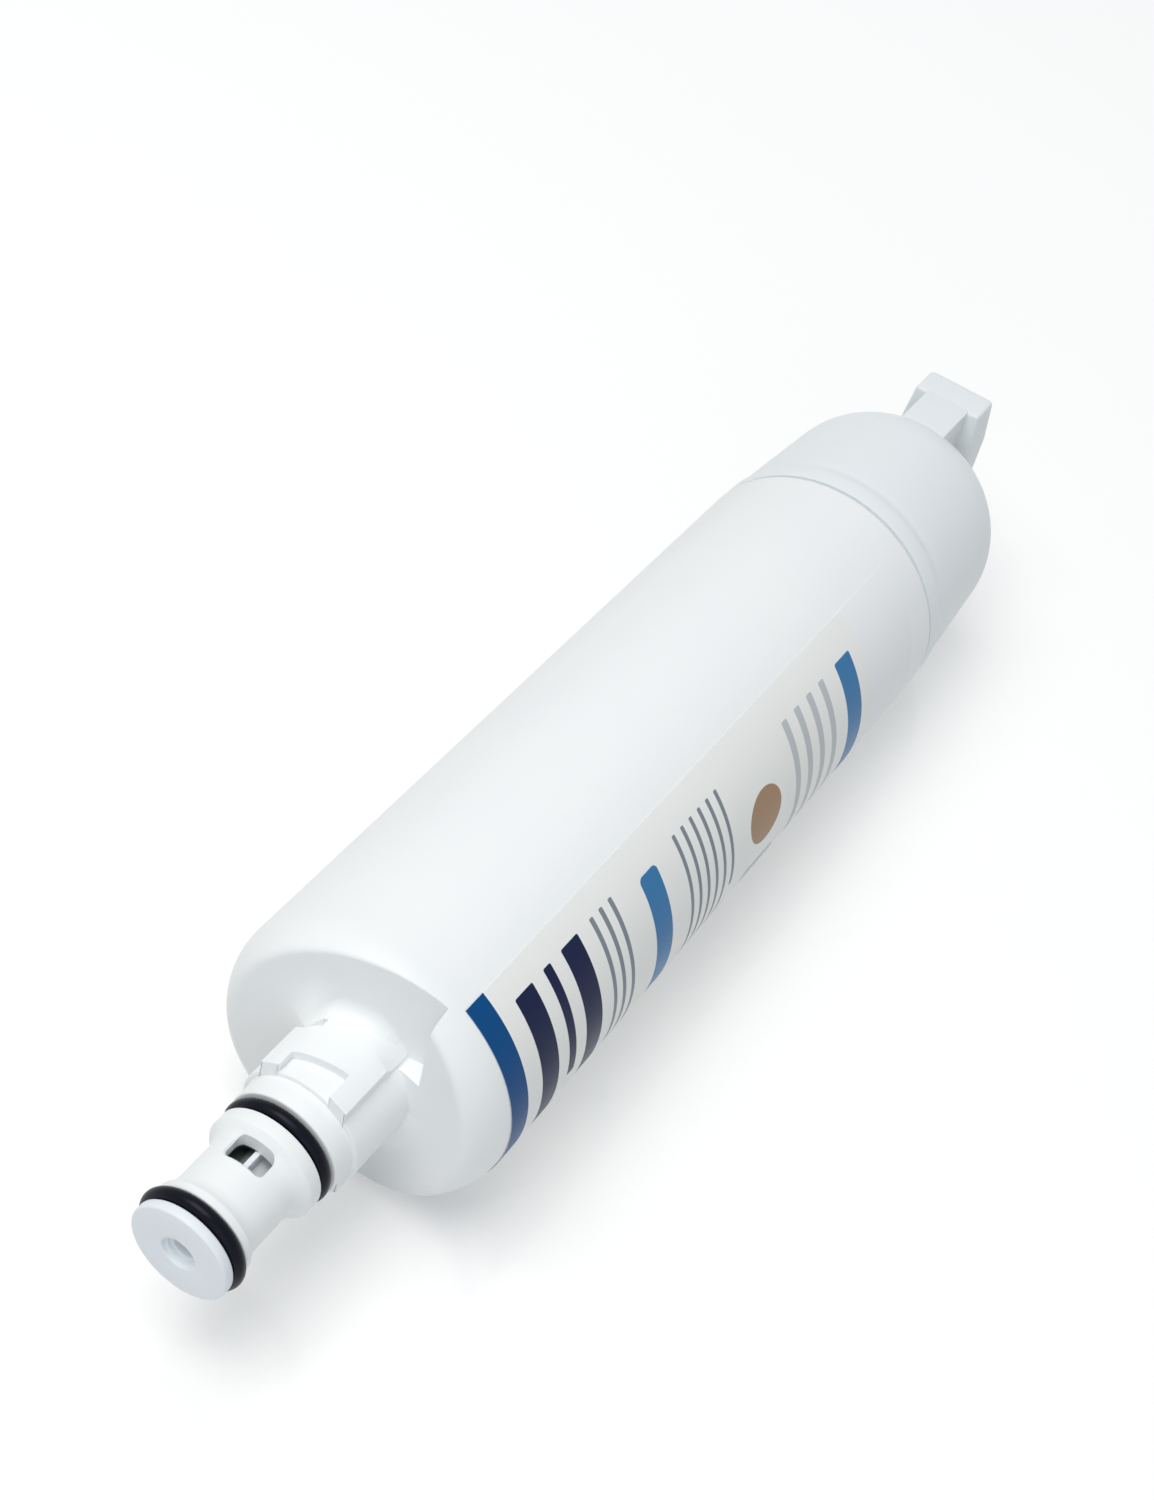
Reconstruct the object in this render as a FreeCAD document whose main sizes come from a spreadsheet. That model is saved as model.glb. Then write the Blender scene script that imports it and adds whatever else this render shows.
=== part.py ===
import FreeCAD, Part
import math
import os
import re

import Sketcher

# Quarter-turn water filter cartridge of a fridge. Millimetres. Pieces are drawn along X from the spigot's
# tip face, with Z through the middle of the upper bayonet lug, then set so that the sealing land's middle
# is the origin.

SIZES = [
    # Spigot, from the tip face backwards
    ("tip_plate_thick", 2.0, "plate that closes the spigot"),
    ("tip_plate_radius", 9.6, "outer radius of the tip plate"),
    ("tip_plate_chamfer", 0.4, "bevel round the tip face"),
    ("front_groove_width", 3.0, "room for the front seal"),
    ("front_groove_radius", 7.5, "floor of the front seal groove"),
    ("front_lip_radius", 9.5, "lip behind the front seal"),
    ("front_lip_width", 1.5, "width of that lip"),
    ("lip_flare_length", 2.9, "hollow run from the lip down to the neck"),
    ("neck_radius", 8.4, "waist between the seals"),
    ("neck_length", 8.0, "straight part of the waist"),
    ("flange_flare_length", 2.6, "hollow run from the neck up to the flange"),
    ("flange_crease_radius", 9.8, "where that run ends"),
    ("flange_bevel", 0.6, "bevel on the flange's front edge"),
    ("flange_width", 3.3, "flange in front of the rear seal"),
    ("flange_radius", 10.5, "outer radius of that flange"),
    ("rear_groove_width", 3.2, "room for the rear seal"),
    ("rear_groove_radius", 7.9, "floor of the rear seal groove"),
    ("land_radius", 10.9, "sealing land that fills the filter head"),
    ("land_length", 4.5, "length of the land"),
    ("land_chamfer", 0.3, "lead-in of the land"),
    ("spigot_bore_radius", 6.0, "bore under the seals"),
    ("collar_bore_radius", 8.6, "wider bore inside the collar"),
    ("collar_bore_lead", 2.5, "how far the wider bore reaches under the land"),
    ("window_front_gap", 5.1, "from the neck's start to the window"),
    ("window_length", 5.2, "inlet window along the axis"),
    ("window_width", 8.1, "inlet window across"),
    ("window_corner", 1.3, "corner radius of the window"),
    # Bayonet collar
    ("collar_radius", 11.9, "collar behind the land"),
    ("lug_radius", 13.8, "outside of the bayonet lugs"),
    ("lug_root_radius", 10.0, "depth the lugs and the shoulder are rooted to"),
    ("lug_half_angle", 38.5, "half the lug's width, degrees"),
    ("notch_half_angle", 21.5, "half the notch's width, degrees"),
    ("notch_length", 4.6, "depth of the notch in the lug's front"),
    ("catch_start", 9.3, "from the collar's front to the catch slot behind a lug"),
    ("catch_end_angle", 21.0, "closed end of the catch slot, degrees from the lug's middle"),
    # Barrel and cam shoulder
    ("barrel_radius", 28.5, "outside of the barrel"),
    ("barrel_wall", 2.2, "wall of the barrel"),
    ("shoulder_front", 8.5, "from the collar's front to the crest of the uncut shoulder"),
    ("shoulder_round", 12.6, "round between shoulder and barrel"),
    ("shoulder_wall", 3.9, "thickness behind the deepest cam"),
    ("cam_deep", 10.1, "depth of a cam face at its step, below the crest"),
    ("cam_tilt", 9.8, "slope of the two cam faces, degrees"),
    ("cam_wall_offset", 13.0, "step wall beside the collar, from the axis"),
    ("cam_shelf_height", 8.4, "shelf under the step, above the axis"),
    ("barrel_length", 159.5, "straight barrel from the shoulder's round to the weld"),
    # Welded end cap
    ("cap_step", 0.2, "how far the cap's edge lies inside the barrel"),
    ("cap_length", 50.2, "from the weld to the cap's flat end"),
    ("cap_taper", 3.7, "draft of the cap, degrees"),
    ("cap_round", 18.0, "round at the cap's end"),
    ("cap_wall", 2.4, "wall at the cap's end"),
    ("weld_skirt_length", 8.0, "skirt inside the barrel"),
    ("weld_skirt_wall", 1.8, "wall of the skirt"),
    ("weld_gap", 0.1, "clearance between skirt and barrel"),
    ("weld_chamfer", 0.35, "bevels that make the seam line"),
    ("rail_neck", 5.2, "gap between the cap's end and the rail's head"),
    ("rail_head", 8.0, "thickness of the rail's head"),
    ("rail_web_width", 10.6, "width of the rail's web"),
    ("rail_head_width", 15.6, "width of the rail's head"),
    ("rail_length", 41.0, "length of the rail across the cap"),
    ("rail_corner", 3.0, "rounded ends of the head"),
    ("rail_root", 12.0, "how deep the web is rooted in the cap"),
    # Outlet insert
    ("port_radius", 3.3, "counterbore in the tip"),
    ("port_step_depth", 0.8, "depth of the counterbore"),
    ("port_step_radius", 2.75, "second step of the port"),
    ("port_depth", 1.6, "depth of that step"),
    ("outlet_radius", 2.2, "water way of the tube"),
    ("tube_radius", 3.4, "outside of the tube"),
    ("plug_length", 4.0, "plug behind the tip plate"),
    ("plug_gap", 0.05, "clearance of plug and fins in the bore"),
    ("fin_length", 20.0, "fins that centre the tube"),
    ("fin_thick", 1.0, "thickness of a fin"),
    ("socket_front", 12.0, "from the collar's front to the socket"),
    ("socket_length", 9.0, "depth of the socket"),
    ("socket_radius", 5.0, "inside of the socket"),
    ("socket_wall", 1.3, "wall of the socket"),
    # Seals
    ("seal_section", 2.85, "section of the outer seals"),
    ("seal_gap", 0.05, "clearance of a seal on its groove floor"),
    ("element_seal_section", 1.6, "section of the inner seal"),
    # Filter element
    ("block_water_gap", 5.3, "water space between barrel and carbon block"),
    ("block_bore", 6.5, "bore of the carbon block"),
    ("block_overrun", 22.4, "how far the block reaches past the weld"),
    ("bond_thick", 1.0, "set adhesive at each end"),
    ("wrap_thick", 0.55, "non-woven wrap"),
    ("net_thick", 0.5, "net over the wrap"),
    ("layer_gap", 0.05, "clearance between layers"),
    ("element_cap_plate", 3.0, "plate of an element cap"),
    ("element_cap_skirt", 6.0, "skirt of an element cap"),
    ("element_cap_wall", 1.05, "wall of that skirt"),
    ("element_inset", 3.5, "water space in front of the element"),
    ("element_spigot_gap", 0.1, "clearance of the element's spigot in its socket"),
    ("rib_gap", 0.2, "clearance of ribs and feet at the walls"),
    ("rib_thick", 2.0, "thickness of ribs and feet"),
    ("rib_root", 0.5, "how deep ribs and feet are rooted"),
    ("foot_reach", 10.0, "reach of the crossed feet from the axis"),
    ("nub_length", 8.0, "plug of the closed cap in the block's bore"),
    ("nub_gap", 0.2, "clearance of that plug"),
    # Label
    ("label_thick", 0.12, "printed film"),
    ("label_gap", 0.02, "adhesive under the film"),
    ("label_front", 20.5, "from the collar's front to the film"),
    ("label_length", 151.0, "length of the film"),
    ("label_edge_angle", 32.0, "upper edge of the film, degrees from the lug"),
    ("label_arc", 190.0, "how far the film reaches round, degrees"),
]

doc = FreeCAD.newDocument("water_filter_cartridge")
sheet = doc.addObject("Spreadsheet::Sheet", "sizes")
for row, (alias, number, note) in enumerate(SIZES, start=1):
    sheet.set("A%d" % row, note)
    sheet.set("B%d" % row, str(number))
    sheet.setAlias("B%d" % row, alias)
doc.recompute()
ALIASES = {alias for alias, number, note in SIZES}


def value(text):
    """Number that an expression of sheet sizes gives."""
    return float(sheet.evalExpression(text))


def bound(text):
    """The same expression as a feature of the document reads it."""
    def qualified(word):
        return "sizes." + word.group() if word.group() in ALIASES else word.group()
    return re.sub(r"[a-z_]+", qualified, text)


# Places along the axis, from the tip face
FRONT_LIP = "tip_plate_thick + front_groove_width"
LIP_FLARE = FRONT_LIP + " + front_lip_width"
NECK = LIP_FLARE + " + lip_flare_length"
FLANGE_FLARE = NECK + " + neck_length"
FLANGE = FLANGE_FLARE + " + flange_flare_length"
REAR_GROOVE = FLANGE + " + flange_width"
LAND = REAR_GROOVE + " + rear_groove_width"
DATUM = LAND + " + land_length / 2"
COLLAR = LAND + " + land_length"
SOCKET = COLLAR + " + socket_front"
CREST = COLLAR + " + shoulder_front"
COLLAR_LENGTH = "shoulder_front + cam_deep + shoulder_wall"
CAVITY = "%s + %s" % (COLLAR, COLLAR_LENGTH)
ELEMENT = CAVITY + " + element_inset"
BOND = ELEMENT + " + element_cap_plate"
BLOCK = BOND + " + bond_thick"
SEAM = CREST + " + shoulder_round + barrel_length"
REAR_BOND = SEAM + " + block_overrun"
REAR_PLATE = REAR_BOND + " + bond_thick"
CAP_END = SEAM + " + cap_length"
RAIL_HEAD = CAP_END + " + rail_neck"

# Radii made of several sizes
CAVITY_RADIUS = "(barrel_radius - barrel_wall)"
SKIRT_RADIUS = "(barrel_radius - barrel_wall - weld_gap)"
CAP_EDGE = "(barrel_radius - cap_step)"
PLUG_RADIUS = "(spigot_bore_radius - plug_gap)"
BLOCK_RADIUS = "(barrel_radius - barrel_wall - block_water_gap)"
WRAP_RADIUS = "(%s + layer_gap)" % BLOCK_RADIUS
NET_RADIUS = "(%s + wrap_thick + layer_gap)" % WRAP_RADIUS
ELEMENT_CAP_BORE = "(%s + net_thick + layer_gap)" % NET_RADIUS
ELEMENT_CAP_RADIUS = "(%s + element_cap_wall)" % ELEMENT_CAP_BORE
ELEMENT_SPIGOT = "(socket_radius - element_spigot_gap)"
ELEMENT_GROOVE = "(socket_radius - seal_gap - element_seal_section - seal_gap)"


def outline(body, name, plane_role, corners, arcs=None, offset=None):
    """Closed sketch through corners given as pairs of expressions.

    arcs holds {first corner: (radius, bulge side)}.
    """
    arcs = arcs or {}
    sketch = body.newObject("Sketcher::SketchObject", name)
    plane = next(item for item in body.Origin.OriginFeatures if item.Role == plane_role)
    sketch.AttachmentSupport = [(plane, "")]
    sketch.MapMode = "FlatFace"
    if offset:
        sketch.setExpression("AttachmentOffset.Base.z", bound(offset))
    places = [FreeCAD.Vector(value(across), value(up), 0) for across, up in corners]
    starts = []
    ends = []
    for index, start in enumerate(places):
        end = places[(index + 1) % len(places)]
        if index in arcs:
            radius = value(arcs[index][0])
            chord = end - start
            rise = radius - math.sqrt(radius ** 2 - (chord.Length / 2) ** 2)
            across = FreeCAD.Vector(-chord.y, chord.x, 0).normalize()
            middle = (start + end) / 2 + across * rise * arcs[index][1]
            clockwise = arcs[index][1] > 0
            sketch.addGeometry(Part.Arc(end, middle, start) if clockwise else Part.Arc(start, middle, end))
        else:
            clockwise = False
            sketch.addGeometry(Part.LineSegment(start, end))
        starts.append(2 if clockwise else 1)
        ends.append(1 if clockwise else 2)
    for index, (across, up) in enumerate(corners):
        last = index - 1 if index else len(corners) - 1
        sketch.addConstraint(Sketcher.Constraint("Coincident", last, ends[last], index, starts[index]))
        for kind, axis, text in (("DistanceX", -2, across), ("DistanceY", -1, up)):
            if text == "0":
                sketch.addConstraint(Sketcher.Constraint("PointOnObject", index, starts[index], axis))
                continue
            number = sketch.addConstraint(Sketcher.Constraint(kind, -1, 1, index, starts[index], value(text)))
            label = "%s_%d" % (kind.lower(), index)
            sketch.renameConstraint(number, label)
            sketch.setExpression("Constraints." + label, bound(text))
    for index, (radius, side) in arcs.items():
        number = sketch.addConstraint(Sketcher.Constraint("Radius", index, value(radius)))
        label = "radius_%d" % index
        sketch.renameConstraint(number, label)
        sketch.setExpression("Constraints." + label, bound(radius))
    doc.recompute()
    return sketch


def new_body(label):
    """Empty body that carries a piece's name."""
    body = doc.addObject("PartDesign::Body", label)
    body.Label = label
    return body


def turn(body, name, corners, arcs=None, kind="Revolution"):
    """Profile of axial place and radius turned all the way round X."""
    sketch = outline(body, name + "_profile", "XZ_Plane", corners, arcs)
    feature = body.newObject("PartDesign::" + kind, name)
    feature.Profile = sketch
    feature.ReferenceAxis = (sketch, ["H_Axis"])
    feature.Angle = 360
    doc.recompute()
    return feature


def pad(body, name, sketch, length, symmetric=True, kind="Pad"):
    """Sketch drawn out to a bound length, evenly to both sides or along its normal."""
    feature = body.newObject("PartDesign::" + kind, name)
    feature.Profile = sketch
    feature.SideType = "Symmetric" if symmetric else "One side"
    feature.setExpression("Length", bound(length))
    doc.recompute()
    return feature


def repeat_round(body, name, features, count):
    """Features repeated evenly round X."""
    pattern = body.newObject("PartDesign::PolarPattern", name)
    pattern.Originals = features
    pattern.Axis = (next(item for item in body.Origin.OriginFeatures if item.Role == "X_Axis"), [""])
    pattern.Angle = 360
    pattern.Occurrences = count
    body.Tip = pattern
    doc.recompute()
    return pattern


def rectangle(low_along, high_along, low_across, high_across):
    """Four corners of a rectangle, counter-clockwise."""
    return [
        (low_along, low_across),
        (high_along, low_across),
        (high_along, high_across),
        (low_along, high_across),
    ]


def set_place(piece):
    """Moves a piece from tip coordinates to the cartridge's origin."""
    piece.setExpression("Placement.Base.x", bound("-(%s)" % DATUM))
    return piece


def ring(label, start, end, inner, outer):
    """Plain tube round X."""
    body = new_body(label)
    turn(body, label + "_turned", rectangle(start, end, inner, outer))
    return set_place(body)


def sector(inner, outer, low_angle, high_angle):
    """Corners and arcs of a ring sector on the YZ plane, angles measured from Z towards -Y."""
    def at(radius, angle):
        return "-%s * sin(%s)" % (radius, angle), "%s * cos(%s)" % (radius, angle)
    corners = [at(inner, low_angle), at(outer, low_angle), at(outer, high_angle), at(inner, high_angle)]
    return corners, {1: (outer, -1), 3: (inner, 1)}


def hollow_radius(length, depth):
    """Radius of a hollow run that meets the neck without a kink."""
    return "((%s)^2 + (%s)^2) / (2 * (%s))" % (length, depth, depth)


# Spigot and bayonet collar of the canister
spigot = new_body("spigot_and_collar")
lip_depth = "front_lip_radius - neck_radius"
flange_depth = "flange_crease_radius - neck_radius"
turn(spigot, "spigot_turned", [
    ("tip_plate_thick", "spigot_bore_radius"),
    ("tip_plate_thick", "front_groove_radius"),
    (FRONT_LIP, "front_groove_radius"),
    (FRONT_LIP, "front_lip_radius"),
    (LIP_FLARE, "front_lip_radius"),
    (NECK, "neck_radius"),
    (FLANGE_FLARE, "neck_radius"),
    (FLANGE, "flange_crease_radius"),
    (FLANGE + " + flange_bevel", "flange_radius"),
    (REAR_GROOVE, "flange_radius"),
    (REAR_GROOVE, "rear_groove_radius"),
    (LAND, "rear_groove_radius"),
    (LAND, "land_radius - land_chamfer"),
    (LAND + " + land_chamfer", "land_radius"),
    (COLLAR, "land_radius"),
    (COLLAR, "collar_radius"),
    (CAVITY, "collar_radius"),
    (CAVITY, "collar_bore_radius"),
    (COLLAR + " - collar_bore_lead", "collar_bore_radius"),
    (COLLAR + " - collar_bore_lead", "spigot_bore_radius"),
], {
    4: (hollow_radius("lip_flare_length", lip_depth), -1),
    6: (hollow_radius("flange_flare_length", flange_depth), -1),
})

# Inlet windows through the neck, above and below
window_start = NECK + " + window_front_gap"
window_end = window_start + " + window_length"
window = outline(spigot, "window_outline", "XY_Plane", [
    (window_start + " + window_corner", "-window_width / 2"),
    (window_end + " - window_corner", "-window_width / 2"),
    (window_end, "window_corner - window_width / 2"),
    (window_end, "window_width / 2 - window_corner"),
    (window_end + " - window_corner", "window_width / 2"),
    (window_start + " + window_corner", "window_width / 2"),
    (window_start, "window_width / 2 - window_corner"),
    (window_start, "window_corner - window_width / 2"),
], {corner: ("window_corner", -1) for corner in (1, 3, 5, 7)})
pad(spigot, "windows", window, "4 * neck_radius", kind="Pocket")

# Bayonet lugs: two legs beside the notch, a full sector behind it, and a tail beside the catch slot
# that runs into the cam face
lug_features = []
for name, low, high, start, end in (
    ("left_leg", "-lug_half_angle", "-notch_half_angle", "0", "notch_length"),
    ("right_leg", "notch_half_angle", "lug_half_angle", "0", "notch_length"),
    ("middle", "-lug_half_angle", "lug_half_angle", "notch_length", "catch_start"),
    ("tail", "-catch_end_angle", "lug_half_angle", "catch_start", COLLAR_LENGTH),
):
    corners, arcs = sector("lug_root_radius", "lug_radius", low, high)
    face = outline(spigot, "lug_%s_outline" % name, "YZ_Plane", corners, arcs, "%s + %s" % (COLLAR, start))
    lug_features.append(pad(spigot, "lug_" + name, face, "%s - (%s)" % (end, start), False))
repeat_round(spigot, "lugs", lug_features, 2)

# Barrel with the round shoulder the cams are cut into
barrel = new_body("barrel_and_shoulder")
turn(barrel, "barrel_turned", [
    (CREST, "lug_root_radius"),
    (CREST, "barrel_radius - shoulder_round"),
    (CREST + " + shoulder_round", "barrel_radius"),
    (SEAM + " - weld_chamfer", "barrel_radius"),
    (SEAM, "barrel_radius - weld_chamfer"),
    (SEAM, CAVITY_RADIUS),
    (CAVITY, CAVITY_RADIUS),
    (CAVITY, "lug_root_radius"),
], {1: ("shoulder_round", 1)})


# Cam faces: two level slopes, half a turn apart. Each falls away across the shoulder to the step wall
# beside the collar, where the other one starts higher up.
CAM_LIMIT = "1.2 * barrel_radius"
CAM_FOOT = CREST + " + cam_deep"


def cam_level(across):
    """Place of a cam face's floor at a distance across, towards +Y."""
    return "%s - (cam_wall_offset + %s) * tan(cam_tilt)" % (CAM_FOOT, across)


shoulder = barrel
for name, half_turn in (("upper_cam", 0), ("lower_cam", 180)):
    cutter = new_body(name)
    reach = outline(cutter, name + "_reach", "YZ_Plane", [
        ("-cam_wall_offset", "cam_shelf_height"),
        ("0", "cam_shelf_height"),
        ("0", "-cam_shelf_height"),
        ("cam_wall_offset", "-cam_shelf_height"),
        ("cam_wall_offset", "-" + CAM_LIMIT),
        (CAM_LIMIT, "-" + CAM_LIMIT),
        (CAM_LIMIT, CAM_LIMIT),
        ("-cam_wall_offset", CAM_LIMIT),
    ], offset=COLLAR)
    pad(cutter, name + "_block", reach, COLLAR_LENGTH, False)
    floor = outline(cutter, name + "_floor", "XY_Plane", [
        (cam_level(CAM_LIMIT), CAM_LIMIT),
        (cam_level("-" + CAM_LIMIT), "-" + CAM_LIMIT),
        (CAVITY + " + cam_deep", "-" + CAM_LIMIT),
        (CAVITY + " + cam_deep", CAM_LIMIT),
    ])
    pad(cutter, name + "_slope", floor, "4 * barrel_radius", kind="Pocket")
    cutter.Placement.Rotation = FreeCAD.Rotation(FreeCAD.Vector(1, 0, 0), half_turn)
    cut = doc.addObject("Part::Cut", "shoulder_" + name)
    cut.Base = shoulder
    cut.Tool = cutter
    shoulder = cut
doc.recompute()
canister = doc.addObject("Part::MultiFuse", "canister")
canister.Label = "canister"
canister.Shapes = [shoulder, spigot]
canister.Refine = True
set_place(canister)
doc.recompute()

# End cap: tapered dome with the knob's rail across it and the weld skirt in front, then hollowed
end_cap = new_body("end_cap")
round_place = CAP_END + " - cap_round"
round_level = "(%s - tan(cap_taper) * (cap_length - cap_round) - cap_round / cos(cap_taper))" % CAP_EDGE
turn(end_cap, "cap_turned", [
    (SEAM + " - weld_skirt_length", "0"),
    (SEAM + " - weld_skirt_length", SKIRT_RADIUS),
    (SEAM, SKIRT_RADIUS),
    (SEAM, CAP_EDGE + " - weld_chamfer"),
    (SEAM + " + weld_chamfer", CAP_EDGE + " - weld_chamfer * tan(cap_taper)"),
    (round_place + " + cap_round * sin(cap_taper)", round_level + " + cap_round * cos(cap_taper)"),
    (CAP_END, round_level),
    (CAP_END, "0"),
], {5: ("cap_round", 1)})
web = outline(end_cap, "rail_web_outline", "XZ_Plane",
              rectangle(CAP_END + " - rail_root", RAIL_HEAD, "-rail_length / 2", "rail_length / 2"))
pad(end_cap, "rail_web", web, "rail_web_width")
rail_end = RAIL_HEAD + " + rail_head"
head = outline(end_cap, "rail_head_outline", "XZ_Plane", [
    (RAIL_HEAD, "-rail_length / 2"),
    (rail_end + " - rail_corner", "-rail_length / 2"),
    (rail_end, "rail_corner - rail_length / 2"),
    (rail_end, "rail_length / 2 - rail_corner"),
    (rail_end + " - rail_corner", "rail_length / 2"),
    (RAIL_HEAD, "rail_length / 2"),
], {1: ("rail_corner", -1), 3: ("rail_corner", -1)})
pad(end_cap, "rail_head_bar", head, "rail_head_width")
inner_round = "(cap_round - cap_wall)"
turn(end_cap, "cap_hollow", [
    (SEAM + " - weld_skirt_length", "0"),
    (SEAM + " - weld_skirt_length", SKIRT_RADIUS + " - weld_skirt_wall"),
    (round_place + " + %s * sin(cap_taper)" % inner_round,
     round_level + " + %s * cos(cap_taper)" % inner_round),
    (CAP_END + " - cap_wall", round_level),
    (CAP_END + " - cap_wall", "0"),
], {2: (inner_round, 1)}, kind="Groove")
set_place(end_cap)

# Outlet insert: tip plate, plug, finned tube and the socket for the filter element
insert = new_body("outlet_insert")
plug_end = "tip_plate_thick + plug_length"
socket_shoulder = SOCKET + " - socket_wall"
turn(insert, "insert_turned", [
    ("port_depth", "outlet_radius"),
    ("port_depth", "port_step_radius"),
    ("port_step_depth", "port_step_radius"),
    ("port_step_depth", "port_radius"),
    ("0", "port_radius"),
    ("0", "tip_plate_radius - tip_plate_chamfer"),
    ("tip_plate_chamfer", "tip_plate_radius"),
    ("tip_plate_thick", "tip_plate_radius"),
    ("tip_plate_thick", PLUG_RADIUS),
    (plug_end, PLUG_RADIUS),
    (plug_end, "tube_radius"),
    (socket_shoulder, "tube_radius"),
    (socket_shoulder, "socket_radius + socket_wall"),
    (SOCKET + " + socket_length", "socket_radius + socket_wall"),
    (SOCKET + " + socket_length", "socket_radius"),
    (SOCKET, "socket_radius"),
    (SOCKET, "outlet_radius"),
])
fin_outline = outline(insert, "fin_outline", "XZ_Plane", rectangle(
    plug_end + " - rib_root", plug_end + " + fin_length", "tube_radius - rib_root", PLUG_RADIUS))
fin = pad(insert, "fin", fin_outline, "fin_thick")
repeat_round(insert, "fins", [fin], 4)
set_place(insert)


def seal(label, centre, floor, section):
    """Round seal on a groove floor."""
    torus = doc.addObject("Part::Torus", label)
    torus.Label = label
    torus.setExpression("Radius1", bound("%s + seal_gap + %s / 2" % (floor, section)))
    torus.setExpression("Radius2", bound("%s / 2" % section))
    torus.Placement = FreeCAD.Placement(FreeCAD.Vector(), FreeCAD.Rotation(FreeCAD.Vector(0, 1, 0), 90))
    torus.setExpression("Placement.Base.x", bound("%s - (%s)" % (centre, DATUM)))
    doc.recompute()
    return torus


front_seal = seal("front_o_ring", "tip_plate_thick + front_groove_width / 2",
                  "front_groove_radius", "seal_section")
rear_seal = seal("rear_o_ring", REAR_GROOVE + " + rear_groove_width / 2",
                 "rear_groove_radius", "seal_section")

# Filter element: glued stack of block, wrap and net between two caps
block = ring("carbon_block", BLOCK, REAR_BOND, "block_bore", BLOCK_RADIUS)
wrap = ring("prefilter_wrap", BLOCK, REAR_BOND, WRAP_RADIUS, WRAP_RADIUS + " + wrap_thick")
net = ring("netting_sleeve", BLOCK, REAR_BOND, NET_RADIUS, NET_RADIUS + " + net_thick")
front_bond = ring("front_bond", BOND, BLOCK, "block_bore", BLOCK_RADIUS)
rear_bond = ring("rear_bond", REAR_BOND, REAR_PLATE, "block_bore", BLOCK_RADIUS)

front_cap = new_body("front_element_cap")
spigot_start = SOCKET + " + rib_gap"
seal_place = SOCKET + " + socket_length / 2"
groove_half = "(element_seal_section / 2 + seal_gap)"
turn(front_cap, "front_cap_turned", [
    (spigot_start, "outlet_radius"),
    (spigot_start, ELEMENT_SPIGOT),
    (seal_place + " - " + groove_half, ELEMENT_SPIGOT),
    (seal_place + " - " + groove_half, ELEMENT_GROOVE),
    (seal_place + " + " + groove_half, ELEMENT_GROOVE),
    (seal_place + " + " + groove_half, ELEMENT_SPIGOT),
    (ELEMENT, ELEMENT_SPIGOT),
    (ELEMENT, ELEMENT_CAP_RADIUS),
    (BOND + " + element_cap_skirt", ELEMENT_CAP_RADIUS),
    (BOND + " + element_cap_skirt", ELEMENT_CAP_BORE),
    (BOND, ELEMENT_CAP_BORE),
    (BOND, "outlet_radius"),
])
rib_outline = outline(front_cap, "rib_outline", "XZ_Plane",
                      rectangle(ELEMENT, BOND + " + element_cap_skirt", ELEMENT_CAP_RADIUS + " - rib_root",
                                CAVITY_RADIUS + " - rib_gap"))
rib = pad(front_cap, "rib", rib_outline, "rib_thick")
repeat_round(front_cap, "ribs", [rib], 6)
set_place(front_cap)
element_seal = seal("element_o_ring", seal_place, ELEMENT_GROOVE, "element_seal_section")

rear_cap = new_body("rear_element_cap")
plate_end = REAR_PLATE + " + element_cap_plate"
turn(rear_cap, "rear_cap_turned", [
    (REAR_PLATE + " - nub_length", "0"),
    (REAR_PLATE + " - nub_length", "block_bore - nub_gap"),
    (REAR_PLATE, "block_bore - nub_gap"),
    (REAR_PLATE, ELEMENT_CAP_BORE),
    (REAR_PLATE + " - element_cap_skirt", ELEMENT_CAP_BORE),
    (REAR_PLATE + " - element_cap_skirt", ELEMENT_CAP_RADIUS),
    (plate_end, ELEMENT_CAP_RADIUS),
    (plate_end, "0"),
])
foot_outline = outline(rear_cap, "foot_outline", "XZ_Plane", rectangle(
    plate_end + " - rib_root", CAP_END + " - cap_wall - rib_gap", "0", "foot_reach"))
foot = pad(rear_cap, "foot", foot_outline, "rib_thick")
repeat_round(rear_cap, "feet", [foot], 4)
set_place(rear_cap)

# Printed film on the barrel, from its upper edge down the near side and under
label = new_body("label")
film = turn(label, "film", rectangle(COLLAR + " + label_front", COLLAR + " + label_front + label_length",
                                     "barrel_radius + label_gap", "barrel_radius + label_gap + label_thick"))
film.setExpression("Angle", bound("label_arc"))
label.Placement = FreeCAD.Placement(FreeCAD.Vector(), FreeCAD.Rotation(FreeCAD.Vector(1, 0, 0), 30))
label.setExpression("Placement.Rotation.Angle", bound("label_edge_angle"))
set_place(label)
doc.recompute()

# Every piece must be sound before it is written
pieces = [canister, end_cap, insert, front_seal, rear_seal, label, block, wrap, net, front_cap, rear_cap,
          front_bond, rear_bond, element_seal]
for item in doc.Objects:
    if "Invalid" in item.State or "Error" in item.State:
        raise RuntimeError("%s did not compute" % item.Label)
for piece in pieces:
    if piece.Shape.isNull() or not piece.Shape.isValid() or len(piece.Shape.Solids) != 1:
        raise RuntimeError("%s is not one sound solid" % piece.Label)
os.makedirs("parts", exist_ok=True)
for piece in pieces:
    piece.Shape.exportStep("parts/%s.step" % piece.Label)
    box = piece.Shape.BoundBox
    corners = [round(number, 2) for number in (box.XMin, box.XMax, box.ZMin, box.ZMax)]
    print(piece.Label, round(piece.Shape.Volume), corners)
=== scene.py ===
from math import atan2, ceil, cos, degrees, hypot, pi, radians, sin, sqrt, tan

import bmesh
import bpy
from mathutils import Euler, Matrix, Vector


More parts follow.
